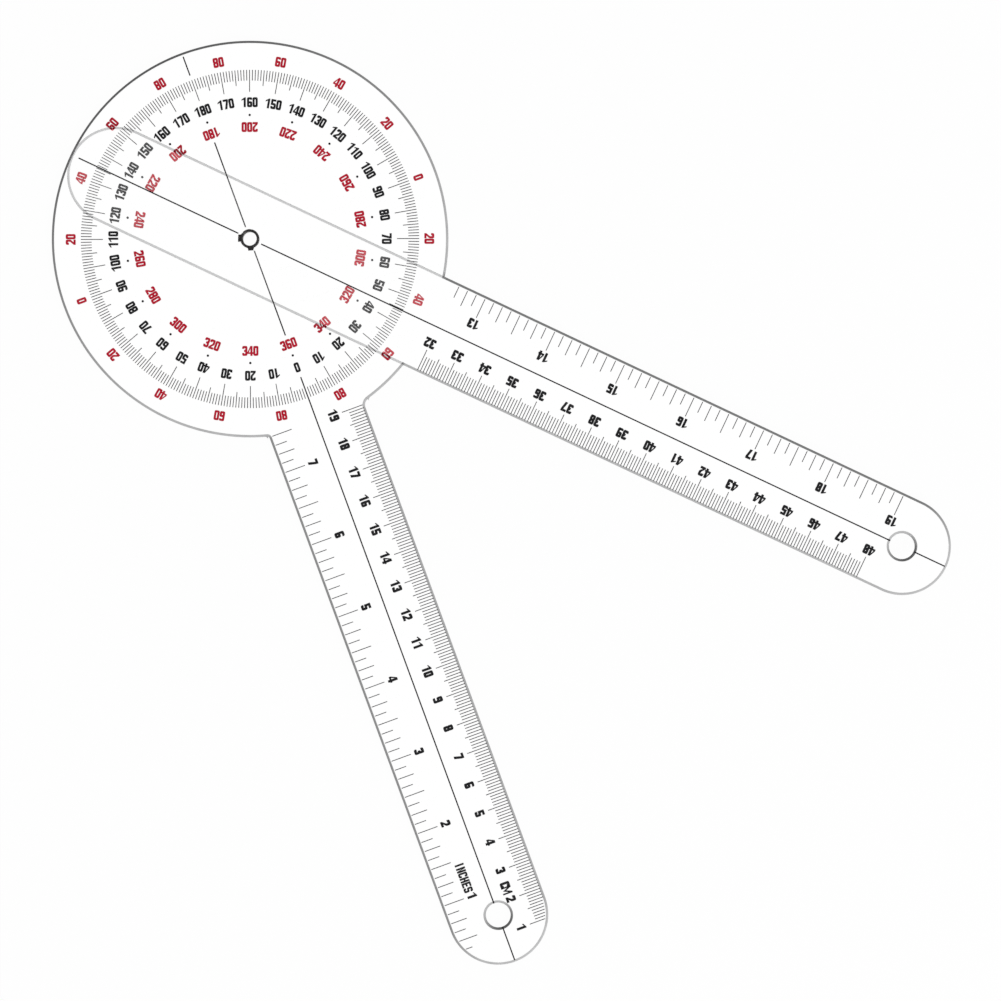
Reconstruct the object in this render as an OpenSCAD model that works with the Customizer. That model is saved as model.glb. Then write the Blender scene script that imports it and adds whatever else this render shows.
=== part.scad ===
// Goniometer ruler: two clear plastic arms on a hollow rivet, with a full-circle dial.
// Millimetres. The origin is on the pivot axis, at the dial's front face.
// +X runs along the fixed arm to its tip, and +Z points at whoever reads the dial.
// The moving arm lies in front of the dial, turned by rest_angle.

/* [Plates] */
// Thickness of the dial and fixed arm
fixed_plate_t = 2; // [1.2:0.1:3]
// Thickness of the moving arm
moving_plate_t = 2; // [1.2:0.1:3]
// Radius of the dial's rim
dial_r = 65.5; // [62:0.5:75]
// Angle of the moving arm from the fixed arm, as stored
rest_angle = 44.6; // [0:0.1:360]

/* [Fixed arm] */
// Width of the fixed arm
fixed_arm_w = 33.2; // [31:0.1:38]
// Distance from the pivot to the fixed arm's tip
fixed_tip = 254.2; // [240:0.1:300]
// Distance from the fixed arm's tip back to the middle of its hang hole
fixed_hole_inset = 16.4; // [8:0.1:20]
// Radius of the fixed arm's hang hole
fixed_hole_r = 4.1; // [2.5:0.05:5]
// Radius of the inside corner between the rim and the centimetre edge
cm_corner_r = 2.6; // [1:0.1:6]
// Radius of the inside corner between the rim and the inch edge
inch_corner_r = 0.8; // [0.4:0.1:4]

/* [Moving arm] */
// Width of the moving arm
moving_arm_w = 32.2; // [31:0.1:38]
// Distance from the pivot to the moving arm's tip
moving_tip = 254; // [240:0.1:300]
// Distance from the moving arm's tip back to the middle of its hang hole
moving_hole_inset = 16.2; // [8:0.1:20]
// Radius of the moving arm's hang hole
moving_hole_r = 4.25; // [2.5:0.05:5]

/* [Hollow rivet] */
// Radius of the bore through the rivet
bore_r = 2.3; // [1.8:0.05:3]
// Thickness of the rivet's sheet metal
metal_t = 0.3; // [0.2:0.05:0.4]
// Width of the flat flange behind the dial, beyond the barrel
flange_w = 0.5; // [0.4:0.05:2]
// Inside radius of the rolled edge in front
roll_inner_r = 0.13; // [0.1:0.01:0.3]
// Straight drop of the rolled edge's outer wall
roll_drop = 0.15; // [0.05:0.05:0.4]
// Width of a saw slit between two petals of the rolled edge
slit_w = 0.16; // [0.1:0.02:0.3]
// Petals that the rolled edge is split into
petals = 6; // [4:1:8]
// Distance from the axis to the end of a petal that burst out flat
burst_reach = 4; // [3.6:0.05:4.05]
// Gap round the barrel in the fixed arm's hole
seat_clear = 0.02; // [0.01:0.01:0.1]
// Gap round the barrel in the moving arm's hole
running_clear = 0.05; // [0.03:0.01:0.1]

/* [Print] */
// Thickness of the printed ink
ink_t = 0.05; // [0.03:0.01:0.1]
// Gap between the ink and whatever slides over it
ink_clear = 0.05; // [0.03:0.01:0.1]
// Width of a graduation
tick_w = 0.26; // [0.1:0.01:0.3]
// Width of the reading line along each arm
line_w = 0.44; // [0.15:0.01:0.5]
// Plain ring round the pivot, where the reading lines stop
pivot_clear_r = 4.15; // [4.1:0.05:6]

/* [Dial print] */
// Plain border between the degree ring and the rim
ring_margin = 9.65; // [8:0.05:12]
// Length of a one-degree tick
degree_len = 3.55; // [2:0.05:4]
// Length of a five-degree tick
five_degree_len = 5.15; // [4:0.05:6]
// Length of a ten-degree tick
ten_degree_len = 7.3; // [6:0.05:9]
// Plain band inside the ten-degree ticks, which holds two rings of numerals
numeral_band = 14.6; // [12:0.1:18]
// Distance from the inner end of a ten-degree tick to the centre of its dot
dot_inset = 7.6; // [6:0.1:9]
// Radius of a dot
dot_r = 0.4; // [0.2:0.05:0.6]
// Degrees between two dots
dot_step = 20; // [10, 20, 30]
// Gap from the degree ring to the short line behind it
back_line_gap = 1.6; // [1:0.1:3]
// Gap from the short line to the rim
back_line_margin = 1.4; // [0.8:0.1:3]

/* [Arm print] */
// Gap from the inch edge to the outer end of its ticks
inch_margin = 1.05; // [0.5:0.05:2]
// Gap from the centimetre edge to the outer end of its ticks
cm_margin = 0.6; // [0.4:0.05:2]
// Gap from a round tip to the outer ends of the ticks beside it
curve_margin = 1.1; // [0.6:0.05:2]
// Gap from a round tip to the end of its reading line
tip_margin = 0.6; // [0.4:0.05:2]
// Length of an inch or half-inch tick
inch_len = 6.8; // [5:0.1:8]
// Length of a quarter-inch tick
quarter_inch_len = 5.45; // [4:0.05:6]
// Length of an eighth-inch tick
eighth_inch_len = 3.95; // [2:0.05:5]
// Length of a centimetre tick
cm_len = 7.25; // [6:0.05:8]
// Length of a half-centimetre tick
half_cm_len = 6.15; // [5:0.05:7]
// Length of a millimetre tick
mm_len = 5.05; // [3:0.05:6]
// First eighth-inch tick on the fixed arm, counted from its tip
fixed_inch_first = 3; // [3:1:16]
// Last eighth-inch tick on the fixed arm, counted from its tip
fixed_inch_last = 60; // [30:1:60]
// First millimetre tick on the fixed arm, counted from its tip
fixed_mm_first = 10; // [10:1:30]
// Last millimetre tick on the fixed arm, counted from its tip
fixed_mm_last = 190; // [100:1:190]
// Distance behind the pivot where the moving arm's scales would read zero
moving_zero_back = 251.5; // [250:0.1:254]
// First eighth-inch tick on the moving arm
moving_inch_first = 101; // [101:1:120]
// Last eighth-inch tick on the moving arm
moving_inch_last = 152; // [121:1:152]
// First millimetre tick on the moving arm
moving_mm_first = 320; // [320:1:350]
// Last millimetre tick on the moving arm
moving_mm_last = 480; // [351:1:480]
// Gap from the moving arm's tail to the end of its reading line
tail_line_margin = 3.1; // [1:0.1:6]

/* [Hidden] */
$fn = 96;
eighth_inch = 25.4 / 8;
full_turn = 360;

// Sides of the fixed arm, along Y
cm_side = 1;
inch_side = -1;

// Distances from the pivot to the hang holes
fixed_hole_x = fixed_tip - fixed_hole_inset;
moving_hole_x = moving_tip - moving_hole_inset;

// Heights, from the dial's front face
moving_back_z = ink_t + ink_clear;
moving_front_z = moving_back_z + moving_plate_t;
roll_foot_z = moving_front_z + ink_t + ink_clear;

// The rivet's radii
barrel_r = bore_r + metal_t;
flange_r = barrel_r + flange_w;
roll_r = roll_inner_r + metal_t;
roll_mid_r = barrel_r + roll_inner_r;
roll_mid_z = roll_foot_z + roll_drop;
roll_outer_r = roll_mid_r + roll_r;

// Burst petals, in degrees from +X: root, first corner, last corner and root again
burst_petals = [[-35, -27, -3, 16], [-144, -129, -95, -90]];

// The degree ring
ring_r = dial_r - ring_margin;
ten_degree_inner_r = ring_r - ten_degree_len;
dot_ring_r = ten_degree_inner_r - dot_inset;
centre_line_r = ten_degree_inner_r - numeral_band;

clear_plastic = [0.86, 0.92, 0.95, 0.4];
black_ink = [0.06, 0.06, 0.07];
dark_nickel = [0.3, 0.29, 0.28];

// Flat outlines of the two plates

// A straight arm with a round tip, from the pivot to the tip
module arm_outline(tip, w) {
    translate([0, -w / 2])
        square([tip - w / 2, w]);
    translate([tip - w / 2, 0])
        circle(d = w);
}

// Middle of the round inside corner between the rim and one edge of the arm
function corner_middle(corner_r, side) =
    let (mid_y = fixed_arm_w / 2 + corner_r)
    [sqrt(pow(dial_r + corner_r, 2) - pow(mid_y, 2)), side * mid_y];

// Web that fills the corner up to where the round meets the rim, before corner_round is cut from it
module corner_web(corner_r, side) {
    middle = corner_middle(corner_r, side);
    rim_point = middle * dial_r / (dial_r + corner_r);
    web_foot = [rim_point[0] - corner_r, side * (fixed_arm_w / 2 - corner_r)];
    web_head = [middle[0], rim_point[1]];
    translate((web_foot + web_head) / 2)
        square([web_head[0] - web_foot[0], abs(web_head[1] - web_foot[1])], center = true);
}

module corner_round(corner_r, side) {
    translate(corner_middle(corner_r, side))
        circle(r = corner_r);
}

module dial_arm_outline() {
    difference() {
        union() {
            circle(r = dial_r);
            arm_outline(fixed_tip, fixed_arm_w);
            corner_web(cm_corner_r, cm_side);
            corner_web(inch_corner_r, inch_side);
        }
        corner_round(cm_corner_r, cm_side);
        corner_round(inch_corner_r, inch_side);
        circle(r = barrel_r + seat_clear);
        translate([fixed_hole_x, 0])
            circle(r = fixed_hole_r);
    }
}

// The tail is a half circle that just reaches the dial's rim
module moving_arm_outline() {
    difference() {
        union() {
            arm_outline(moving_tip, moving_arm_w);
            mirror([1, 0])
                arm_outline(dial_r, moving_arm_w);
        }
        circle(r = barrel_r + running_clear);
        translate([moving_hole_x, 0])
            circle(r = moving_hole_r);
    }
}

// Print on the front face of a plate

// One thin stroke of ink, its middle on the line from x1 to x2
module stroke(x1, x2, w) {
    translate([x1, -w / 2, 0])
        cube([x2 - x1, w, ink_t]);
}

function degree_tick_len(degree) =
    degree % 10 == 0 ? ten_degree_len : degree % 5 == 0 ? five_degree_len : degree_len;

// Ticks at every whole degree whose length is len, apart from the one at degree 0:
// the fixed arm's reading line takes that place
module ring_ticks(len) {
    for (degree = [1 : full_turn - 1])
        if (degree_tick_len(degree) == len)
            rotate(degree)
                stroke(ring_r - len, ring_r, tick_w);
}

// How far the print may reach from the arm's middle line at x, inside the round tip
function print_reach(x, tip, w, margin) =
    let (tip_mid = tip - w / 2, past = x - tip_mid)
    past <= 0 ? w / 2 - margin : min(w / 2 - margin, sqrt(pow(w / 2, 2) - pow(past, 2)) - curve_margin);

// A cross tick at x, from its inner end out towards the edge on the +Y side
module edge_tick(x, inner, tip, w, margin) {
    outer = print_reach(x, tip, w, margin);
    translate([x - tick_w / 2, inner, 0])
        cube([tick_w, outer - inner, ink_t]);
}

function inch_tick_len(n) = n % 4 == 0 ? inch_len : n % 2 == 0 ? quarter_inch_len : eighth_inch_len;

function mm_tick_len(n) = n % 10 == 0 ? cm_len : n % 5 == 0 ? half_cm_len : mm_len;

// Eighth-inch ticks first to last, from zero_x in the direction dir, on the +Y side
module inch_ticks(first, last, zero_x, dir, tip, w) {
    for (n = [first : last])
        edge_tick(zero_x + dir * n * eighth_inch, w / 2 - inch_margin - inch_tick_len(n), tip, w, inch_margin);
}

// Millimetre ticks first to last, from zero_x in the direction dir, on the +Y side
module mm_ticks(first, last, zero_x, dir, tip, w) {
    for (n = [first : last])
        edge_tick(zero_x + dir * n, w / 2 - cm_margin - mm_tick_len(n), tip, w, cm_margin);
}

// Reading line from the plain ring at the pivot to the tip, stopping at the hang hole
module tip_line(start, hole_x, hole_r, tip) {
    stroke(start, hole_x - hole_r, line_w);
    stroke(hole_x + hole_r, tip - tip_margin, line_w);
}

// Places the moving arm's pieces at the angle in which it is stored
module at_moving_arm(z) {
    rotate(rest_angle)
        translate([0, 0, z])
            children();
}

// Dial and fixed arm: one clear plate
module dial_arm_plate() {
    color(clear_plastic)
        translate([0, 0, -fixed_plate_t])
            linear_extrude(fixed_plate_t)
                dial_arm_outline();
}

// Moving arm: a clear plate in front of the dial
module moving_arm_plate() {
    color(clear_plastic)
        at_moving_arm(moving_back_z)
            linear_extrude(moving_plate_t)
                moving_arm_outline();
}

// Half section of the rivet: radius along x, height along y
module eyelet_section() {
    back_z = -fixed_plate_t;
    // Barrel
    translate([bore_r, back_z])
        square([metal_t, roll_mid_z - back_z]);
    // Bend from the barrel to the flange
    intersection() {
        translate([barrel_r, back_z])
            circle(r = metal_t);
        translate([bore_r, back_z - metal_t])
            square(metal_t);
    }
    // Flange behind the dial, with a round rim
    translate([barrel_r, back_z - metal_t])
        square([flange_w - metal_t / 2, metal_t]);
    translate([flange_r - metal_t / 2, back_z - metal_t / 2])
        circle(d = metal_t);
    // Rolled edge in front: a half ring of sheet, and its outer wall down to the moving arm
    intersection() {
        difference() {
            translate([roll_mid_r, roll_mid_z])
                circle(r = roll_r);
            translate([roll_mid_r, roll_mid_z])
                circle(r = roll_inner_r);
        }
        translate([roll_mid_r - roll_r, roll_mid_z])
            square([2 * roll_r, roll_r]);
    }
    translate([roll_mid_r + roll_inner_r, roll_foot_z])
        square([metal_t, roll_drop]);
}

// One slit through the rolled edge, at the angle +X
module petal_slit() {
    translate([roll_mid_r, -slit_w / 2, roll_foot_z - ink_clear / 2])
        cube([2 * roll_r, slit_w, 2 * (roll_drop + roll_r)]);
}

// A petal that tore open and lies flat on the rolled edge's foot, with its corners at these angles
module burst_petal(angles) {
    reaches = [roll_mid_r, burst_reach, burst_reach, roll_mid_r];
    difference() {
        translate([0, 0, roll_foot_z])
            linear_extrude(roll_drop)
                polygon([for (n = [0 : 3]) reaches[n] * [cos(angles[n]), sin(angles[n])]]);
        translate([0, 0, roll_foot_z - roll_drop])
            cylinder(r = roll_outer_r - metal_t / 2, h = 3 * roll_drop);
    }
}

// Hollow rivet: flat flange behind, split and rolled edge in front
module pivot_eyelet() {
    color(dark_nickel) {
        difference() {
            rotate_extrude()
                eyelet_section();
            for (n = [0 : petals - 1])
                rotate((n + 0.5) * full_turn / petals)
                    petal_slit();
        }
        for (angles = burst_petals)
            burst_petal(angles);
    }
}

module one_degree_ticks() {
    color(black_ink)
        ring_ticks(degree_len);
}

module five_degree_ticks() {
    color(black_ink)
        ring_ticks(five_degree_len);
}

module ten_degree_ticks() {
    color(black_ink)
        ring_ticks(ten_degree_len);
}

// Dots that lead from the outer numerals to the inner ones
module dial_dots() {
    color(black_ink)
        for (degree = [0 : dot_step : full_turn - 1])
            rotate(degree)
                translate([dot_ring_r, 0, 0])
                    cylinder(r = dot_r, h = ink_t);
}

// Reading line of the dial and fixed arm, broken where the numerals stand
module dial_index_line() {
    color(black_ink) {
        stroke(pivot_clear_r, centre_line_r, line_w);
        tip_line(ten_degree_inner_r, fixed_hole_x, fixed_hole_r, fixed_tip);
        rotate(full_turn / 2) {
            stroke(pivot_clear_r, centre_line_r, line_w);
            stroke(ring_r + back_line_gap, dial_r - back_line_margin, line_w);
        }
    }
}

module fixed_inch_ticks() {
    color(black_ink)
        mirror([0, 1, 0])
            inch_ticks(fixed_inch_first, fixed_inch_last, fixed_tip, -1, fixed_tip, fixed_arm_w);
}

module fixed_cm_ticks() {
    color(black_ink)
        mm_ticks(fixed_mm_first, fixed_mm_last, fixed_tip, -1, fixed_tip, fixed_arm_w);
}

// Reading line of the moving arm, from its tail to its tip
module moving_index_line() {
    color(black_ink)
        at_moving_arm(moving_front_z) {
            tip_line(pivot_clear_r, moving_hole_x, moving_hole_r, moving_tip);
            rotate(full_turn / 2)
                stroke(pivot_clear_r, dial_r - tail_line_margin, line_w);
        }
}

module moving_inch_ticks() {
    color(black_ink)
        at_moving_arm(moving_front_z)
            inch_ticks(moving_inch_first, moving_inch_last, -moving_zero_back, 1, moving_tip, moving_arm_w);
}

module moving_cm_ticks() {
    color(black_ink)
        at_moving_arm(moving_front_z)
            mirror([0, 1, 0])
                mm_ticks(moving_mm_first, moving_mm_last, -moving_zero_back, 1, moving_tip, moving_arm_w);
}

dial_arm_plate();
moving_arm_plate();
pivot_eyelet();
one_degree_ticks();
five_degree_ticks();
ten_degree_ticks();
dial_dots();
dial_index_line();
fixed_inch_ticks();
fixed_cm_ticks();
moving_index_line();
moving_inch_ticks();
moving_cm_ticks();
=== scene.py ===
"""Looks of the goniometer ruler: clear plates, printed scales, numerals, rivet and studio."""

import logging
import math
from dataclasses import dataclass, field
from enum import Enum

import bpy
from bpy.types import Material, Node, NodeSocket, NodeTree, Object
from mathutils import Matrix, Vector


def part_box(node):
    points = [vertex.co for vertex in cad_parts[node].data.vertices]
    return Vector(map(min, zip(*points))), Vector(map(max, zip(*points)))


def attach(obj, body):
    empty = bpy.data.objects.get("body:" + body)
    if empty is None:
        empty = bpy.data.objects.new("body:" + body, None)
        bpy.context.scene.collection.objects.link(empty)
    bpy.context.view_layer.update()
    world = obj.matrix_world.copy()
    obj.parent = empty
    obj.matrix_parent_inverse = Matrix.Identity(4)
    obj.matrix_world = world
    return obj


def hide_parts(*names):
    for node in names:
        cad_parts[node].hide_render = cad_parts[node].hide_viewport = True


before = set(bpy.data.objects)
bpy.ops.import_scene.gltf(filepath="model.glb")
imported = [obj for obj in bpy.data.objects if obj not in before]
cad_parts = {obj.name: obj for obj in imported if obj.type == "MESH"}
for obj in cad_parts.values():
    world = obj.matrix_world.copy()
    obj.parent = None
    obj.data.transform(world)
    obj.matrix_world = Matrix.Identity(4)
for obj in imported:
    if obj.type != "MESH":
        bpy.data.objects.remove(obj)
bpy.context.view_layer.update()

LOG = logging.getLogger("goniometer")
Color = tuple[float, float, float, float]
WHITE: Color = (1.0, 1.0, 1.0, 1.0)

# A millimetre in metres, and the units of the printed scales in millimetres
MM = 0.001
CENTIMETRE = 10
INCH = 25.4

# In millimetres: how deep print reaches into its plate, so that its colour shows from behind,
# and how far a drill reaches past the plates
PRINT_BITE = 0.01
DRILL_REACH = 9.0

# Sides of the round forms, facets across a rounded edge, and the largest angle shaded as a curve
RIM_SIDES, TIP_SIDES, HOLE_SIDES, PIVOT_SIDES, CORNER_SIDES = 288, 144, 96, 64, 48
EDGE_FACETS = 4
EDGE_SMOOTH_ANGLE = 35.0


class Body(Enum):
    """The two bodies that turn on each other."""

    FIXED = "fixed_arm"
    MOVING = "moving_arm"


class Slot(Enum):
    """Names of the record's material slots for the new pieces, by which the dial's print picks its
    ink.
    """

    PLASTIC = "clear_plastic"
    BLACK = "black_ink"
    RED = "red_ink"


class Cut(Enum):
    """How a shape is combined with another one."""

    JOIN = "UNION"
    REMOVE = "DIFFERENCE"
    KEEP = "INTERSECT"


# Workshop: modelling is done in millimetres, and a finished piece is scaled to metres


def deselect_all() -> None:
    """Leaves nothing selected, in object mode."""
    if bpy.context.object is not None and bpy.context.object.mode != "OBJECT":
        bpy.ops.object.mode_set(mode="OBJECT")
    bpy.ops.object.select_all(action="DESELECT")


def pick(*objects: Object) -> None:
    """Selects these objects alone, and makes the first one active.

    Args:
        objects: The objects.
    """
    deselect_all()
    for obj in objects:
        obj.select_set(True)
    bpy.context.view_layer.objects.active = objects[0]


def apply_place(*objects: Object) -> None:
    """Selects these objects alone, and applies their place, turn and scale to their meshes."""
    pick(*objects)
    bpy.ops.object.transform_apply(location=True, rotation=True, scale=True)


def cylinder(
    name: str, radius: float, low: float, high: float, sides: int, x: float = 0.0, y: float = 0.0
) -> Object:
    """Adds an upright cylinder.

    Args:
        name: Name of the object.
        radius: Radius in millimetres.
        low: Height of its foot.
        high: Height of its top.
        sides: Number of sides.
        x: Middle along X.
        y: Middle along Y.

    Returns:
        The cylinder.
    """
    deselect_all()
    bpy.ops.mesh.primitive_cylinder_add(
        vertices=sides, radius=radius, depth=high - low, location=(x, y, (low + high) / 2)
    )
    return named(bpy.context.object, name)


def block(name: str, low: tuple[float, float, float], high: tuple[float, float, float]) -> Object:
    """Adds a block between two corners, in millimetres.

    Args:
        name: Name of the object.
        low: Lowest corner.
        high: Highest corner.

    Returns:
        The block.
    """
    deselect_all()
    middle = (Vector(low) + Vector(high)) / 2
    bpy.ops.mesh.primitive_cube_add(size=1.0, location=middle, scale=Vector(high) - Vector(low))
    return named(bpy.context.object, name)


def named(obj: Object, name: str) -> Object:
    """Gives an object and its mesh a name, and applies its place.

    Args:
        obj: The object.
        name: The name.

    Returns:
        The same object.
    """
    obj.name = name
    obj.data.name = name
    apply_place(obj)
    return obj


def combine(piece: Object, tool: Object, cut: Cut) -> None:
    """Joins, removes or keeps the space of a tool, which is used up.

    Args:
        piece: The shape that changes.
        tool: The shape that is applied to it.
        cut: What is done.
    """
    pick(piece)
    step = piece.modifiers.new("Combine", "BOOLEAN")
    step.operation = cut.value
    step.solver = "EXACT"
    step.object = tool
    bpy.ops.object.modifier_apply(modifier=step.name)
    bpy.data.objects.remove(tool)


def drill(plate: Object, radius: float, sides: int, x: float = 0.0) -> None:
    """Drills a round hole through a plate.

    Args:
        plate: The plate.
        radius: Radius of the hole.
        sides: Number of sides.
        x: Middle of the hole along X.
    """
    combine(plate, cylinder("drill", radius, -DRILL_REACH, DRILL_REACH, sides, x), Cut.REMOVE)


def tidy_faces(piece: Object, merge: float = 0.001, flatness: float = 0.2) -> None:
    """Merges doubles, dissolves the seams between level faces and turns the faces outwards.

    Args:
        piece: The piece.
        merge: Largest gap between points that become one, in millimetres.
        flatness: Largest angle in degrees between faces that become one.
    """
    pick(piece)
    bpy.ops.object.mode_set(mode="EDIT")
    bpy.ops.mesh.select_all(action="SELECT")
    bpy.ops.mesh.remove_doubles(threshold=merge)
    bpy.ops.mesh.dissolve_limited(angle_limit=math.radians(flatness))
    bpy.ops.mesh.normals_make_consistent(inside=False)
    bpy.ops.object.mode_set(mode="OBJECT")


def break_edges(piece: Object, width: float, sharp: float = 50.0) -> None:
    """Rounds the piece's sharp edges.

    Args:
        piece: The piece.
        width: Width of the rounding, in millimetres.
        sharp: Least angle in degrees that counts as sharp.
    """
    pick(piece)
    step = piece.modifiers.new("Edge", "BEVEL")
    step.width = width
    step.segments = EDGE_FACETS
    step.limit_method = "ANGLE"
    step.angle_limit = math.radians(sharp)
    step.use_clamp_overlap = False
    bpy.ops.object.modifier_apply(modifier=step.name)


def finish_mesh(piece: Object, smooth_angle: float = 20.0) -> None:
    """Scales a piece from millimetres to metres in its mesh, and smooths it.

    Args:
        piece: The piece.
        smooth_angle: Largest angle in degrees that is shaded as a curve.
    """
    piece.scale = (MM, MM, MM)
    apply_place(piece)
    bpy.ops.object.shade_smooth_by_angle(angle=math.radians(smooth_angle))


def dress(piece: Object, *materials: Material) -> None:
    """Puts these materials in a piece's slots, in place of what it has.

    Args:
        piece: The piece.
        materials: The materials in order.
    """
    piece.data.materials.clear()
    for material in materials:
        piece.data.materials.append(material)


def finish_plate(plate: Object, faces: Material, edge: Material, level: float = 0.999) -> None:
    """Scales, smooths and dresses a clear plate, with its edge in a finish of its own.

    Each large flat face keeps its own normal, so that only the rounded edges shade as curves.

    Args:
        plate: The plate.
        faces: Material of the level faces.
        edge: Material of all other faces.
        level: Least upward or downward part of a level face's normal.
    """
    finish_mesh(plate, EDGE_SMOOTH_ANGLE)
    step = plate.modifiers.new("Normals", "WEIGHTED_NORMAL")
    step.keep_sharp = True
    bpy.ops.object.modifier_apply(modifier=step.name)
    dress(plate, faces, edge)
    for face in plate.data.polygons:
        face.material_index = 0 if abs(face.normal.z) > level else 1


# Finishes


class NodeBoard:
    """A material's or group's node tree, with short ways to add and join nodes."""

    def __init__(self, tree: NodeTree) -> None:
        """Starts on an existing node tree."""
        self.tree = tree

    def add(self, kind: str, settings: dict | None = None, **inputs: object) -> Node:
        """Adds a node.

        Args:
            kind: Blender's name of the node type.
            settings: Values of the node's own properties.
            inputs: Values or output sockets for its inputs, with _ for a space.

        Returns:
            The node.
        """
        node = self.tree.nodes.new(kind)
        for key, value in (settings or {}).items():
            setattr(node, key, value)
        for key, value in inputs.items():
            self.plug(node, key.replace("_", " "), value)
        return node

    def plug(self, node: Node, socket: str | int, value: object) -> None:
        """Sets an input to a value, or links it to an output socket.

        Args:
            node: The node.
            socket: Name or number of the input.
            value: The value or output socket.
        """
        target = node.inputs[socket]
        if isinstance(value, NodeSocket):
            self.tree.links.new(value, target)
        else:
            target.default_value = value

    def result(
        self, kind: str, settings: dict, inputs: dict[int, object], output: int = 0
    ) -> NodeSocket:
        """Adds a node by its numbered inputs.

        Args:
            kind: Blender's name of the node type.
            settings: Values of the node's own properties.
            inputs: Value or output socket for each input.
            output: Number of the output that is wanted.

        Returns:
            The output.
        """
        node = self.add(kind, settings)
        for number, value in inputs.items():
            self.plug(node, number, value)
        return node.outputs[output]

    def math(self, operation: str, a: object, b: object = 0.0) -> NodeSocket:
        """Adds a Math node and returns its output."""
        return self.result("ShaderNodeMath", {"operation": operation}, {0: a, 1: b})

    def ramp(
        self, value: object, low: float, high: float, to_low: float = 0.0, to_high: float = 1.0
    ) -> NodeSocket:
        """Maps a value from one range to another, clamped.

        Args:
            value: The value.
            low: Start of its range.
            high: End of its range.
            to_low: Result at the start.
            to_high: Result at the end.

        Returns:
            The output.
        """
        node = self.add(
            "ShaderNodeMapRange",
            {"clamp": True},
            Value=value,
            From_Min=low,
            From_Max=high,
            To_Min=to_low,
            To_Max=to_high,
        )
        return node.outputs["Result"]

    def object_place(self) -> NodeSocket:
        """The surface point in the object's own coordinates, in metres."""
        return self.add("ShaderNodeTexCoord").outputs["Object"]

    def object_normal(self) -> NodeSocket:
        """The surface normal in the object's own coordinates."""
        return self.add("ShaderNodeTexCoord").outputs["Normal"]

    def vector(
        self, operation: str, a: object, b: object = (0.0, 0.0, 0.0), output: int = 0
    ) -> NodeSocket:
        """Adds a Vector Math node and returns its vector, or with output 1 its number."""
        settings = {"operation": operation}
        return self.result("ShaderNodeVectorMath", settings, {0: a, 1: b}, output)

    def backfacing(self) -> NodeSocket:
        """Whether the surface is met from its inner side."""
        return self.add("ShaderNodeNewGeometry").outputs["Backfacing"]

    def noise(self, place: object, scale: object, detail: float) -> NodeSocket:
        """Adds a Noise texture and returns its value."""
        node = self.add("ShaderNodeTexNoise", Vector=place, Scale=scale, Detail=detail)
        return node.outputs["Fac"]

    def blend_colors(self, factor: object, a: object, b: object) -> NodeSocket:
        """Mixes two colours and returns the output."""
        return self.result("ShaderNodeMix", {"data_type": "RGBA"}, {0: factor, 6: a, 7: b}, 2)

    def transparent(self, color: Color = WHITE) -> NodeSocket:
        """Adds a Transparent shader and returns its output."""
        return self.add("ShaderNodeBsdfTransparent", Color=color).outputs[0]

    def mix_shaders(self, factor: object, a: NodeSocket, b: NodeSocket) -> NodeSocket:
        """Mixes two shaders and returns the output."""
        return self.result("ShaderNodeMixShader", {}, {0: factor, 1: a, 2: b})


def new_material(name: str) -> tuple[Material, NodeBoard, Node]:
    """Starts a node material.

    Args:
        name: Name of the material.

    Returns:
        The material, its board, and its output node.
    """
    material = bpy.data.materials.new(name)
    material.use_nodes = True
    material.node_tree.nodes.clear()
    board = NodeBoard(material.node_tree)
    return material, board, board.add("ShaderNodeOutputMaterial")


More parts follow.
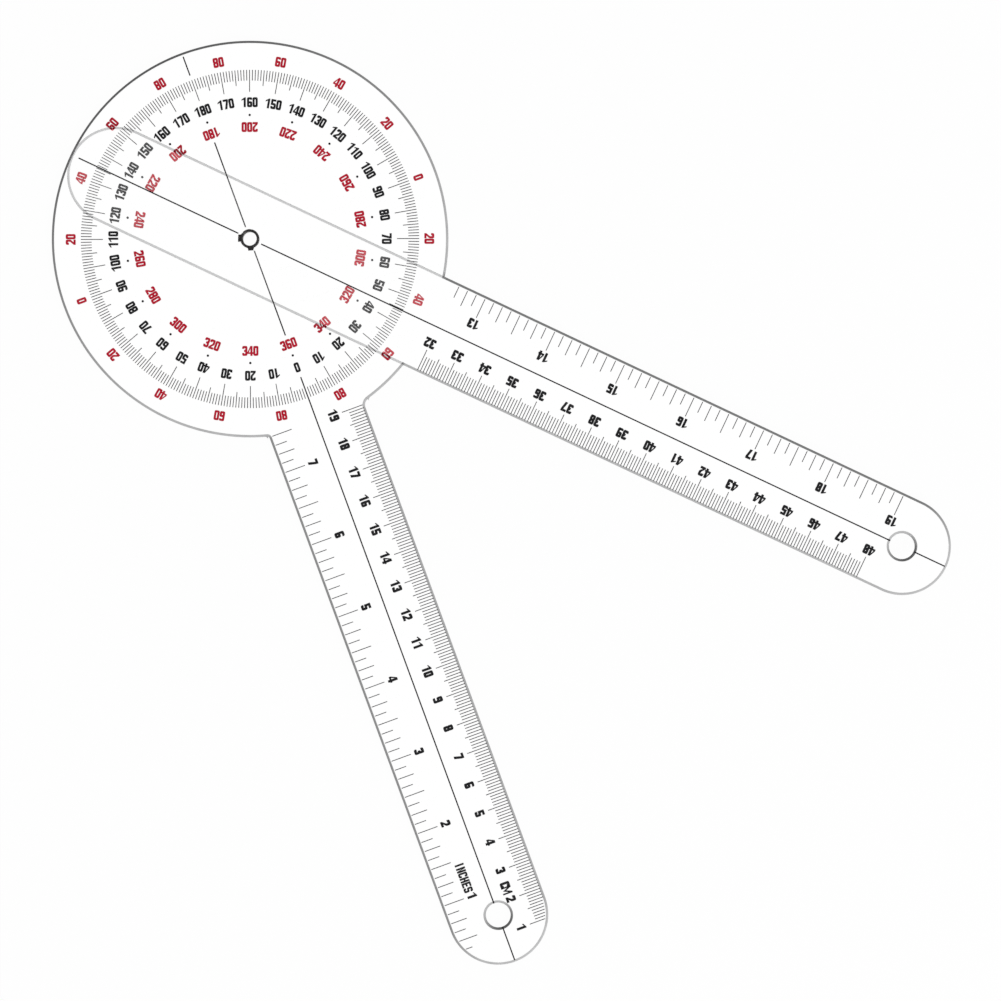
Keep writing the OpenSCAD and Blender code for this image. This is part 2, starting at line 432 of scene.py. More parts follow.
class EffectGroups:
    """Shader node groups that several finishes share."""

    def __init__(self) -> None:
        """Builds every group once."""
        self.mottle = self._mottle()
        self.scuffs = self._scuffs()

    def _start(self, name: str, inputs: dict[str, float]) -> tuple[NodeBoard, Node, Node]:
        """Starts a group that has the place as its first input and one value as its output.

        Args:
            name: Name of the group.
            inputs: Its other inputs, with their usual values.

        Returns:
            The group's board, its input node and its output node.
        """
        tree = bpy.data.node_groups.new(name, "ShaderNodeTree")
        tree.interface.new_socket("Place", in_out="INPUT", socket_type="NodeSocketVector")
        for label, value in inputs.items():
            socket = tree.interface.new_socket(label, in_out="INPUT", socket_type="NodeSocketFloat")
            socket.default_value = value
        tree.interface.new_socket("Value", in_out="OUTPUT", socket_type="NodeSocketFloat")
        board = NodeBoard(tree)
        return board, board.add("NodeGroupInput"), board.add("NodeGroupOutput")

    def _mottle(self) -> NodeTree:
        """Soft cloudy variation with a finer grain on top, from 0 to 1.

        Returns:
            The group.
        """
        usual = {"Cloud": 200.0, "Grain": 4000.0, "Share": 0.3}
        board, given, out = self._start("soft_mottle", usual)
        cloud = board.noise(given.outputs["Place"], given.outputs["Cloud"], 3.0)
        grain = board.noise(given.outputs["Place"], given.outputs["Grain"], 2.0)
        inputs = {0: given.outputs["Share"], 2: cloud, 3: grain}
        both = board.result("ShaderNodeMix", {"data_type": "FLOAT"}, inputs)
        board.plug(out, "Value", board.ramp(both, 0.3, 0.7))
        return board.tree

    def _scuffs(self) -> NodeTree:
        """Fine hairlines from handling, from 0 to 1, running two ways.

        Returns:
            The group.
        """
        board, given, out = self._start("hairline_scuffs", {"Fineness": 900.0, "Amount": 0.5})
        lines = []
        for turn in (0.35, 1.9):
            stretch = board.add(
                "ShaderNodeMapping",
                Vector=given.outputs["Place"],
                Rotation=(0.0, 0.0, turn),
                Scale=(1.0, 0.02, 1.0),
            )
            noise = board.noise(stretch.outputs["Vector"], given.outputs["Fineness"], 2.0)
            lines.append(board.ramp(noise, 0.64, 0.72))
        both = board.math("MAXIMUM", *lines)
        board.plug(out, "Value", board.math("MULTIPLY", both, given.outputs["Amount"]))
        return board.tree

    def place(self, board: NodeBoard, group: NodeTree, **values: float) -> NodeSocket:
        """Puts a group into a material, fed with Object coordinates.

        Args:
            board: The material's board.
            group: The group.
            values: Its inputs, with _ for a space.

        Returns:
            The group's value output.
        """
        settings = {"node_tree": group}
        node = board.add("ShaderNodeGroup", settings, Place=board.object_place(), **values)
        return node.outputs["Value"]


@dataclass(frozen=True)
class ClearSheet:
    """Polished clear plastic: the level faces of both plates.

    Lamplight passes straight through. So does a camera ray that meets a face from inside, because
    it came in straight through a clear band of the cut edge.
    """

    tint: Color = WHITE
    roughness: float = 0.015
    scuffed_roughness: float = 0.12
    ior: float = 1.49
    lamplight: Color = (0.98, 0.98, 0.98, 1.0)

    def build(self, effects: EffectGroups) -> Material:
        """Makes the material.

        Args:
            effects: The shared effect groups.

        Returns:
            The material.
        """
        material, board, output = new_material("clear_sheet")
        scuffs = effects.place(board, effects.scuffs, Fineness=700.0, Amount=0.6)
        plastic = board.add(
            "ShaderNodeBsdfPrincipled",
            Base_Color=self.tint,
            Roughness=board.ramp(scuffs, 0.0, 1.0, self.roughness, self.scuffed_roughness),
            IOR=self.ior,
            Transmission_Weight=1.0,
        )
        path = board.add("ShaderNodeLightPath")
        leaving = board.math("MULTIPLY", path.outputs["Is Camera Ray"], board.backfacing())
        straight = board.math("MAXIMUM", path.outputs["Is Shadow Ray"], leaving)
        through = board.transparent(self.lamplight)
        board.plug(output, "Surface", board.mix_shaders(straight, plastic.outputs[0], through))
        return material


@dataclass(frozen=True)
class CutEdge:
    """The sawn and broken edge of a plate: frosted, with painted light and shade that make it paler
    where it faces the light and darker where it faces away.

    Inside the radius clear_inside its rounded part is a clear grey band of painted shade, lighter
    than the frosted edge, and the print under it shows. Seen through a sheet, an edge that hides
    under sheets is never drawn, and any other edge is drawn from outside alone.
    """

    name: str
    # Painted shade and painted light: the edge's colours where it faces away from and toward the
    # light
    dark: Color = (0.12, 0.12, 0.121, 1.0)
    pale: Color = (0.6, 0.6, 0.603, 1.0)
    toward_light: tuple[float, float, float] = (0.98, 0.18, 0.0)
    palest_from: float = 0.5
    clear_inside: float = 0.0
    # Grey tint of the clear band: painted shade
    band: Color = (0.775, 0.775, 0.778, 1.0)
    hides_under_sheet: bool = True

    def build(self, effects: EffectGroups) -> Material:
        """Makes the material.

        Args:
            effects: The shared effect groups.

        Returns:
            The material.
        """
        material, board, output = new_material(self.name)
        mottle = effects.place(board, effects.mottle, Cloud=260.0, Grain=3500.0, Share=0.5)
        # Painted light and shade: the colour runs from the darker to the paler one as the edge's
        # level normal turns toward the fixed light direction, varied by the mottle
        level = board.vector("MULTIPLY", board.object_normal(), (1.0, 1.0, 0.0))
        facing = board.vector("DOT_PRODUCT", board.vector("NORMALIZE", level), self.toward_light, 1)
        painted_light_share = board.ramp(facing, -1.0, self.palest_from)
        painted_light_share = board.math("MULTIPLY", painted_light_share, board.ramp(mottle, 0.0, 1.0, 0.7, 1.0))
        color = board.blend_colors(painted_light_share, self.dark, self.pale)
        bump = board.add("ShaderNodeBump", Height=mottle, Strength=0.25, Distance=0.00005)
        frosted = board.add(
            "ShaderNodeBsdfPrincipled",
            Base_Color=color,
            Roughness=board.ramp(mottle, 0.0, 1.0, 0.45, 0.65),
            IOR=1.49,
            Specular_IOR_Level=0.2,
            Normal=bump.outputs["Normal"],
        )
        surface = frosted.outputs[0]
        if self.clear_inside > 0:
            surface = self.clear_band(board, surface)
        hidden = board.add("ShaderNodeLightPath").outputs["Is Transmission Ray"]
        if not self.hides_under_sheet:
            hidden = board.math("MULTIPLY", hidden, board.backfacing())
        board.plug(output, "Surface", board.mix_shaders(hidden, surface, board.transparent()))
        return material

    def clear_band(
        self, board: NodeBoard, frosted: NodeSocket, soft: float = 0.0004
    ) -> NodeSocket:
        """Makes the rounded part of the edge a clear grey band of painted shade inside the radius.

        Args:
            board: The material's board.
            frosted: The shader of the rest of the edge.
            soft: Half the width of the change at the radius, in metres.

        Returns:
            The shader of the whole edge.
        """
        split = board.add("ShaderNodeSeparateXYZ", Vector=board.object_place())
        flat = board.add("ShaderNodeCombineXYZ", X=split.outputs["X"], Y=split.outputs["Y"])
        radius = board.vector("LENGTH", flat.outputs[0], output=1)
        near, far = self.clear_inside - soft, self.clear_inside + soft
        # Painted shade: inside the radius the edge becomes a grey see-through band, lighter than
        # the frosted edge outside it
        inside = board.ramp(radius, near, far, 1.0, 0.0)
        lean = board.add("ShaderNodeSeparateXYZ", Vector=board.object_normal()).outputs["Z"]
        rounded = board.ramp(board.math("ABSOLUTE", lean), 0.1, 0.4)
        share = board.math("MULTIPLY", inside, rounded)
        return board.mix_shaders(share, frosted, board.transparent(self.band))


@dataclass(frozen=True)
class PrintedInk:
    """Screen-printed ink: a dense colour that is a little thin in places."""

    name: str
    dense: Color
    thin: Color

    def build(self, effects: EffectGroups) -> Material:
        """Makes the material.

        Args:
            effects: The shared effect groups.

        Returns:
            The material.
        """
        material, board, output = new_material(self.name)
        mottle = effects.place(board, effects.mottle, Cloud=320.0, Grain=6000.0, Share=0.35)
        bump = board.add("ShaderNodeBump", Height=mottle, Strength=0.15, Distance=0.00002)
        ink = board.add(
            "ShaderNodeBsdfPrincipled",
            Base_Color=board.blend_colors(mottle, self.dense, self.thin),
            Roughness=board.ramp(mottle, 0.0, 1.0, 0.5, 0.7),
            Specular_IOR_Level=0.12,
            Normal=bump.outputs["Normal"],
        )
        board.plug(output, "Surface", ink.outputs[0])
        return material


@dataclass(frozen=True)
class DarkNickel:
    """Dark nickel plate on the rivet, with brighter rubbed spots."""

    plate: Color = (0.03, 0.029, 0.029, 1.0)
    rubbed: Color = (0.12, 0.115, 0.11, 1.0)

    def build(self, effects: EffectGroups) -> Material:
        """Makes the material.

        Args:
            effects: The shared effect groups.

        Returns:
            The material.
        """
        material, board, output = new_material("dark_nickel")
        mottle = effects.place(board, effects.mottle, Cloud=450.0, Grain=3000.0, Share=0.2)
        scuffs = effects.place(board, effects.scuffs, Fineness=2500.0, Amount=0.35)
        worn = board.math("MAXIMUM", board.ramp(mottle, 0.6, 1.0), scuffs)
        bump = board.add("ShaderNodeBump", Height=mottle, Strength=0.15, Distance=0.00003)
        metal = board.add(
            "ShaderNodeBsdfPrincipled",
            Base_Color=board.blend_colors(worn, self.plate, self.rubbed),
            Metallic=1.0,
            Roughness=board.ramp(worn, 0.0, 1.0, 0.42, 0.25),
            Normal=bump.outputs["Normal"],
        )
        board.plug(output, "Surface", metal.outputs[0])
        return material


@dataclass(frozen=True)
class StudioFloor:
    """White tabletop that shows as the background and still takes a soft shadow.

    From below it can be looked through, so that the object's back can be seen.
    """

    color: Color = (0.9, 0.9, 0.9, 1.0)
    paler: Color = (0.93, 0.93, 0.93, 1.0)
    background_share: float = 0.97

    def build(self) -> Material:
        """Makes the material.

        Returns:
            The material.
        """
        material, board, output = new_material("studio_floor")
        noise = board.noise(board.object_place(), 60.0, 4.0)
        tone = board.blend_colors(noise, self.color, self.paler)
        paper = board.add("ShaderNodeBsdfDiffuse", Color=tone)
        white = board.add("ShaderNodeEmission", Color=WHITE, Strength=1.0)
        path = board.add("ShaderNodeLightPath")
        glossy, through = path.outputs["Is Glossy Ray"], path.outputs["Is Transmission Ray"]
        reflected = board.math("MAXIMUM", glossy, through)
        direct = board.math("MULTIPLY", path.outputs["Is Camera Ray"], self.background_share)
        seen = board.math("MAXIMUM", reflected, direct)
        front = board.mix_shaders(seen, paper.outputs[0], white.outputs[0])
        both = board.mix_shaders(board.backfacing(), front, board.transparent())
        board.plug(output, "Surface", both)
        return material


@dataclass(frozen=True)
class Finishes:
    """Every material of the object."""

    clear: Material
    dial_edge: Material
    arm_edge: Material
    black: Material
    red: Material
    metal: Material


def build_finishes(effects: EffectGroups, dial_r: float) -> Finishes:
    """Makes the object's materials.

    Args:
        effects: The shared effect groups.
        dial_r: Radius of the dial in metres, inside which the moving arm's edge is a clear band of
            painted shade.

    Returns:
        The materials.
    """
    arm_edge = CutEdge("arm_cut_edge", clear_inside=dial_r, hides_under_sheet=False)
    black = PrintedInk("black_ink", (0.004, 0.004, 0.005, 1.0), (0.02, 0.02, 0.022, 1.0))
    red = PrintedInk("red_ink", (0.46, 0.001, 0.016, 1.0), (0.6, 0.02, 0.05, 1.0))
    return Finishes(
        clear=ClearSheet().build(effects),
        dial_edge=CutEdge("dial_cut_edge").build(effects),
        arm_edge=arm_edge.build(effects),
        black=black.build(effects),
        red=red.build(effects),
        metal=DarkNickel().build(effects),
    )


# Lettering


@dataclass(frozen=True)
class Corner:
    """One corner of a character's outline, in millimetres from its lower left, and its rounding."""

    x: float
    y: float
    rounding: float = 0.0


# A character's outline and counters, each corner as x, y and, where it has one, its rounding
Loops = list[list[tuple[float, ...]]]


@dataclass(frozen=True)
class Glyphs:
    """Outlines of bold condensed characters, drawn with the pen's width as their measure.

    A character is one outline, followed by its counters. All of them run anticlockwise.
    """

    height: float
    width: float
    pen: float
    outer: float = 0.5
    inner: float = 0.16

    def frame(self, low: float, high: float, inset: float) -> list[tuple[float, ...]]:
        """A rounded rectangle between two heights, in from both sides by an inset."""
        bend, right = self.inner if inset else self.outer, self.width - inset
        return [(inset, low, bend), (right, low, bend), (right, high, bend), (inset, high, bend)]

    def turned(self, loops: Loops) -> Loops:
        """The same loops turned by half a turn."""
        w, h = self.width, self.height
        return [[(w - x, h - y, *bend) for x, y, *bend in loop] for loop in loops]

    def round_one(self) -> dict[str, Loops]:
        """The characters built round a closed bowl: 0, 6, 8 and 9.

        Returns:
            The outlines of each character.
        """
        w, h, p = self.width, self.height, self.pen
        bend, nook = self.outer, self.inner
        bowl = 0.6 * h
        waist, lip = 0.51 * h, 0.12
        six = [
            [
                (0, 0, bend), (w, 0, bend), (w, bowl, bend), (p, bowl), (p, h - p, nook),
                (w - p, h - p, nook), (w - p, 0.74 * h), (w, 0.74 * h), (w, h, bend), (0, h, bend),
            ],
            self.frame(p, bowl - p, p),
        ]
        eight = [
            [
                (0, 0, bend), (w, 0, bend), (w, waist - lip), (w - lip, waist), (w, waist + lip),
                (w, h, bend), (0, h, bend), (0, waist + lip), (lip, waist), (0, waist - lip),
            ],
            self.frame(p, waist - p / 2, p),
            self.frame(waist + p / 2, h - p, p),
        ]
        nought = [self.frame(0, h, 0), self.frame(p, h - p, p)]
        return {"0": nought, "6": six, "8": eight, "9": self.turned(six)}

    def bent(self) -> dict[str, Loops]:
        """The characters drawn with one bent stroke: 2, 3, 5, S and C.

        Returns:
            The outlines of each character.
        """
        w, h, p = self.width, self.height, self.pen
        bend, nook = self.outer, self.inner
        mid, notch = h / 2, 0.12
        under, over = mid - p / 2, mid + p / 2
        two = [
            (0, 0), (w, 0), (w, p), (1.2 * p, p), (w, 0.5 * h, 0.3), (w, h, bend), (0, h, bend),
            (0, 0.68 * h), (p, 0.68 * h), (p, h - p, nook), (w - p, h - p, nook),
            (w - p, 0.57 * h, nook), (0, 0.19 * h),
        ]
        three = [
            (0, 0, bend), (w, 0, bend), (w, mid - notch), (w - notch, mid), (w, mid + notch),
            (w, h, bend), (0, h, bend), (0, 0.7 * h), (p, 0.7 * h), (p, h - p, nook),
            (w - p, h - p, nook), (w - p, over, nook), (0.36 * w, over), (0.36 * w, under),
            (w - p, under, nook), (w - p, p, nook), (p, p, nook), (p, 0.3 * h), (0, 0.3 * h),
        ]
        shelf = 0.62 * h
        five = [
            (0, 0, bend), (w, 0, bend), (w, shelf, bend), (p, shelf), (p, h - p), (0.96 * w, h - p),
            (0.96 * w, h), (0, h), (0, shelf - p), (w - p, shelf - p, nook), (w - p, p, nook),
            (p, p, nook), (p, 0.3 * h), (0, 0.3 * h),
        ]
        snake = [
            (0, 0, bend), (w, 0, bend), (w, over, bend), (p, over, nook), (p, h - p, nook),
            (w - p, h - p, nook), (w - p, 0.7 * h), (w, 0.7 * h), (w, h, bend), (0, h, bend),
            (0, under, bend), (w - p, under, nook), (w - p, p, nook), (p, p, nook), (p, 0.3 * h),
            (0, 0.3 * h),
        ]
        open_bowl = [
            (0, 0, bend), (w, 0, bend), (w, 0.34 * h), (w - p, 0.34 * h), (w - p, p, nook),
            (p, p, nook), (p, h - p, nook), (w - p, h - p, nook), (w - p, 0.66 * h), (w, 0.66 * h),
            (w, h, bend), (0, h, bend),
        ]
        return {"2": [two], "3": [three], "5": [five], "S": [snake], "C": [open_bowl]}

    def straight(self) -> dict[str, Loops]:
        """The characters with straight strokes alone: 1, 4, 7, I, N, H, E and M.

        Returns:
            The outlines of each character.
        """
        w, h, p = self.width, self.height, self.pen
        under, over = h / 2 - p / 2, h / 2 + p / 2
        stem = 0.62 * w
        one = [
            (stem - p / 2, 0), (stem + p / 2, 0), (stem + p / 2, h), (stem, h), (0, 0.78 * h),
            (0, 0.64 * h), (stem - p / 2, 0.76 * h),
        ]
        left, right, low, high = 0.92 * w - p, 0.92 * w, 0.19 * h, 0.19 * h + 0.8 * p
        four = [
            (left, 0), (right, 0), (right, low), (1.06 * w, low), (1.06 * w, high), (right, high),
            (right, h), (left, h), (-0.06 * w, high), (-0.06 * w, low), (left, low),
        ]
        gap = [(0.55 * p, high), (left, high), (left, 0.72 * h)]
        seven = [
            (0.18 * w, 0), (0.22 * w + p, 0), (w, h - p), (w, h), (0, h), (0, h - p),
            (w - p, h - p),
        ]
        bar = [(w / 2 - p / 2, 0), (w / 2 + p / 2, 0), (w / 2 + p / 2, h), (w / 2 - p / 2, h)]
        en = [
            (0, 0), (p, 0), (p, 0.6 * h), (w - p, 0), (w, 0), (w, h), (w - p, h), (w - p, 0.4 * h),
            (p, h), (0, h),
        ]
        aitch = [
            (0, 0), (p, 0), (p, under), (w - p, under), (w - p, 0), (w, 0), (w, h), (w - p, h),
            (w - p, over), (p, over), (p, h), (0, h),
        ]
        comb = [
            (0, 0), (w, 0), (w, p), (p, p), (p, under), (0.86 * w, under), (0.86 * w, over),
            (p, over), (p, h - p), (w, h - p), (w, h), (0, h),
        ]
        thin, near, far = 0.62 * p, -0.18 * w, 1.18 * w
        em = [
            (near, 0), (near + thin, 0), (near + thin, 0.58 * h), (w / 2, 0.08 * h),
            (far - thin, 0.58 * h), (far - thin, 0), (far, 0), (far, h), (far - thin, h),
            (w / 2, 0.46 * h), (near + thin, h), (near, h),
        ]
        return {
            "1": [one], "4": [four, gap], "7": [seven], "I": [bar],
            "N": [en], "H": [aitch], "E": [comb], "M": [em],
        }

    def all(self) -> dict[str, list[list[Corner]]]:
        """Every character."""
        drawn = self.round_one() | self.bent() | self.straight()
        return {char: [[Corner(*c) for c in loop] for loop in drawn[char]] for char in drawn}


@dataclass
class TypeCase:
    """Characters of one height and weight, each modelled once in millimetres.

    A rounding takes up most_of_side of a side at most, and steps straight lines.
    """

    glyphs: Glyphs
    pitch: float
    ink: float = 0.05
    steps: int = 2
    most_of_side: float = 0.48
    made: dict[str, Object] = field(default_factory=dict)

    def outline(self, loop: list[Corner]) -> list[Vector]:
        """A closed outline with its rounded corners turned into arcs.

        Args:
            loop: The corners in order.

        Returns:
            Points in millimetres, with the character's middle at the origin.
        """
        middle = Vector((self.glyphs.width / 2, self.glyphs.height / 2))
        spots = [Vector((corner.x, corner.y)) - middle for corner in loop]
        points = []
        for index, corner in enumerate(loop):
            spot = spots[index]
            if corner.rounding == 0:
                points.append(spot)
                continue
            before = spots[index - 1] - spot
            after = spots[(index + 1) % len(spots)] - spot
            back = min(corner.rounding, self.most_of_side * before.length)
            ahead = min(corner.rounding, self.most_of_side * after.length)
            start = spot + before.normalized() * back
            end = spot + after.normalized() * ahead
            for step in range(self.steps + 1):
                t = step / self.steps
                points.append(start * (1 - t) ** 2 + spot * 2 * t * (1 - t) + end * t**2)
        return points

    def character(self, char: str) -> Object:
        """The model of one character, a slab of ink that is made on first use.

        Args:
            char: The character.

        Returns:
            Its object, which is copied and never placed itself.
        """
        if char not in self.made:
            curve = bpy.data.curves.new(f"char_{char}", "CURVE")
            curve.dimensions = "2D"
            curve.fill_mode = "BOTH"
            curve.extrude = self.ink / 2
            for loop in self.glyphs.all()[char]:
                points = self.outline(loop)
                spline = curve.splines.new("POLY")
                spline.points.add(len(points) - 1)
                spline.use_cyclic_u = True
                for spot, point in zip(spline.points, points):
                    spot.co = (point.x, point.y, 0.0, 1.0)
            flat = bpy.data.objects.new(f"char_{char}", curve)
            bpy.context.collection.objects.link(flat)
            pick(flat)
            bpy.ops.object.convert(target="MESH")
            slab = bpy.context.object
            slab.location.z = self.ink / 2
            self.made[char] = named(slab, f"char_{char}")
            tidy_faces(slab)
        return self.made[char]

    def label(self, text: str, x: float, y: float, turn: float) -> list[Object]:
        """Copies the characters of a label to their places, in millimetres.

        Args:
            text: The label.
            x: Middle of the label along X.
            y: Middle of the label along Y.
            turn: Angle of the reading direction from +X, in degrees.

        Returns:
            The copies.
        """
        spin = Matrix.Rotation(math.radians(turn), 4, "Z")
        copies = []
        for index, char in enumerate(text):
            model = self.character(char)
            pick(model)
            bpy.ops.object.duplicate()
            copy = bpy.context.object
            along = (index - (len(text) - 1) / 2) * self.pitch
            shift = Matrix.Translation((along, 0, 0))
            copy.matrix_world = Matrix.Translation((x, y, 0)) @ spin @ shift
            copies.append(copy)
        return copies

    def row(
        self, numbers: range, start: float, step: float, y: float, turn: float
    ) -> list[Object]:
        """Copies the numbers of a scale to their places, in millimetres.

        Args:
            numbers: The numbers.
            start: Where the scale's zero lies along X.
            step: Distance from one number to the next.
            y: Middle of the row along Y.
            turn: Angle of the reading direction from +X, in degrees.

        Returns:
            The copies.
        """
        copies = []
        for number in numbers:
            copies += self.label(str(number), start + step * number, y, turn)
        return copies

    def clear(self) -> None:
        """Removes the models once every label is printed."""
        for model in self.made.values():
            bpy.data.objects.remove(model)
        self.made.clear()


def print_layer(
    name: str, copies: list[Object], ink: Material, height: float = 0.0, turn: float = 0.0
) -> Object:
    """Joins the characters of one print layer and lays them on their plate.

    Their backs bite a little into the plastic, so that the ink shows its colour from behind too.

    Args:
        name: Name of the piece.
        copies: The characters.
        ink: Their material.
        height: Height of the plate's face, in millimetres.
        turn: Angle of the plate, in degrees.

    Returns:
        The finished piece.
    """
    apply_place(*copies)
    bpy.ops.object.join()
    layer = bpy.context.object
    lift = Matrix.Translation((0, 0, height - PRINT_BITE))
    layer.matrix_world = lift @ Matrix.Rotation(math.radians(turn), 4, "Z")
    named(layer, name)
    dress(layer, ink)
    finish_mesh(layer, smooth_angle=1.0)
    return layer


# The object


def add_piece(piece: Object, body: Body, slot: Slot, *nodes: str) -> None:
    """Attaches a finished piece to its body, and hides the CAD nodes that it stands for.

    Args:
        piece: The piece.
        body: The body it moves with.
        slot: Not used.
        nodes: CAD nodes that it stands for.
    """
    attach(piece, body.value)
    if nodes:
        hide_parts(*nodes)
    LOG.info("made %s with %d faces on %s", piece.name, len(piece.data.polygons), body.value)


@dataclass
class DialArm:
    """The dial and fixed arm: one clear plate with its print, in millimetres."""

    finishes: Finishes
    figures: TypeCase
    heavy_figures: TypeCase
    letters: TypeCase
    dial_r: float = 65.5
    arm_w: float = 33.2
    tip: float = 254.2
    hole_x: float = 237.8
    hole_r: float = 4.1
    pivot_r: float = 2.62
    thickness: float = 2.0
    cm_corner_r: float = 2.6
    inch_corner_r: float = 0.8
    broken_edge: float = 0.8
    black_ring_r: float = 45.15
    red_inner_r: float = 36.95
    red_outer_r: float = 59.2
    cm_row_y: float = 5.8
    inch_row_y: float = -5.9
    cm_numbers: range = range(1, 20)
    inch_numbers: range = range(1, 8)
    cm_word: tuple[float, float] = (230.1, 0.3)
    inch_word: tuple[float, float] = (222.2, 0.5)

    def corner_middle(self, radius: float, side: int) -> Vector:
        """Middle of the round inside corner between the rim and one edge of the arm."""
        y = self.arm_w / 2 + radius
        return Vector((math.sqrt((self.dial_r + radius) ** 2 - y**2), side * y))

    def fill_corner(self, plate: Object, radius: float, side: int) -> None:
        """Fills one inside corner between the rim and the arm, and rounds it.

        Args:
            plate: The plate.
            radius: Radius of the corner.
            side: 1 for the centimetre edge, -1 for the inch edge.
        """
        middle = self.corner_middle(radius, side)
        rim = middle * self.dial_r / (self.dial_r + radius)
        ys = sorted((side * (self.arm_w / 2 - radius), rim.y))
        web = block("web", (rim.x - radius, ys[0], -5.0), (middle.x, ys[1], 5.0))
        combine(plate, web, Cut.JOIN)
        bend = cylinder("bend", radius, -8.0, 8.0, CORNER_SIDES, middle.x, middle.y)
        combine(plate, bend, Cut.REMOVE)

    def plate(self) -> Object:
        """Models the clear plate.

        Its blanks are thicker than the sheet and unequal, so that no two faces lie in one plane
        when they are joined. The sheet is cut out of them afterwards.

        Returns:
            The plate, which stands for the CAD's plate.
        """
        half = self.arm_w / 2
        middle = self.tip - half
        plate = cylinder("dial_and_fixed_arm", self.dial_r, -4.0, 4.0, RIM_SIDES)
        combine(plate, block("bar", (0.0, -half, -3.0), (middle, half, 3.0)), Cut.JOIN)
        combine(plate, cylinder("tip", half, -3.5, 3.5, TIP_SIDES, middle), Cut.JOIN)
        self.fill_corner(plate, self.cm_corner_r, 1)
        self.fill_corner(plate, self.inch_corner_r, -1)
        drill(plate, self.hole_r, HOLE_SIDES, self.hole_x)
        reach = self.tip + self.dial_r
        sheet = block("sheet", (-reach, -reach, -self.thickness), (reach, reach, 0.0))
        combine(plate, sheet, Cut.KEEP)
        tidy_faces(plate)
        break_edges(plate, self.broken_edge)
        drill(plate, self.pivot_r, PIVOT_SIDES)
        finish_plate(plate, self.finishes.clear, self.finishes.dial_edge)
        return plate

    def ring(self, radius: float, values: dict[int, int], facing: int) -> list[Object]:
        """Copies numerals to their places round the dial.

        Args:
            radius: Radius of their middles.
            values: The numeral at each angle from the fixed arm, in degrees.
            facing: Angle from the radius to the reading direction, in degrees.

        Returns:
            The copies.
        """
        copies = []
        for degree, value in values.items():
            angle = math.radians(degree)
            x, y = radius * math.cos(angle), radius * math.sin(angle)
            copies += self.figures.label(str(value), x, y, degree + facing)
        return copies

    def black_ring(self) -> list[Object]:
        """Black numerals every ten degrees, counted both ways from the fixed arm."""
        values = {degree: min(degree, 360 - degree) for degree in range(0, 360, 10)}
        return self.ring(self.black_ring_r, values, -90)

    def red_rings(self) -> list[Object]:
        """Red numerals: full-circle degrees inside, and degrees from square on the rim.

        Returns:
            The copies.
        """
        inner = {degree: 360 - min(degree, 360 - degree) for degree in range(0, 360, 20)}
        outer = {degree: abs(90 - min(degree, 360 - degree)) for degree in range(10, 360, 20)}
        copies = self.ring(self.red_inner_r, inner, 90)
        return copies + self.ring(self.red_outer_r, outer, -90)

    def unit_words(self) -> list[Object]:
        """The two unit words near the tip, each a little below its row of numbers.

        Returns:
            The copies.
        """
        x, drop = self.inch_word
        words = self.letters.label("INCHES", x, self.inch_row_y - drop, 0)
        x, drop = self.cm_word
        return words + self.heavy_figures.label("CM", x, self.cm_row_y - drop, 0)

    def lay(self, name: str, copies: list[Object], slot: Slot = Slot.BLACK) -> None:
        """Args:
            name: Name of the piece.
            copies: Its characters.
            slot: Its ink.
        """
        ink = self.finishes.red if slot is Slot.RED else self.finishes.black
        add_piece(print_layer(name, copies, ink), Body.FIXED, slot)

    def build(self) -> None:
        """Models, dresses and attaches every piece of the dial and fixed arm."""
        add_piece(self.plate(), Body.FIXED, Slot.PLASTIC, "dial_arm_plate")
        self.lay("dial_black_numerals", self.black_ring())
        self.lay("dial_red_numerals", self.red_rings(), Slot.RED)
        row = self.heavy_figures.row
        cm = row(self.cm_numbers, self.tip, -CENTIMETRE, self.cm_row_y, 0)
        self.lay("fixed_cm_numerals", cm)
        inch = row(self.inch_numbers, self.tip, -INCH, self.inch_row_y, 0)
        self.lay("fixed_inch_numerals", inch)
        self.lay("fixed_unit_words", self.unit_words())


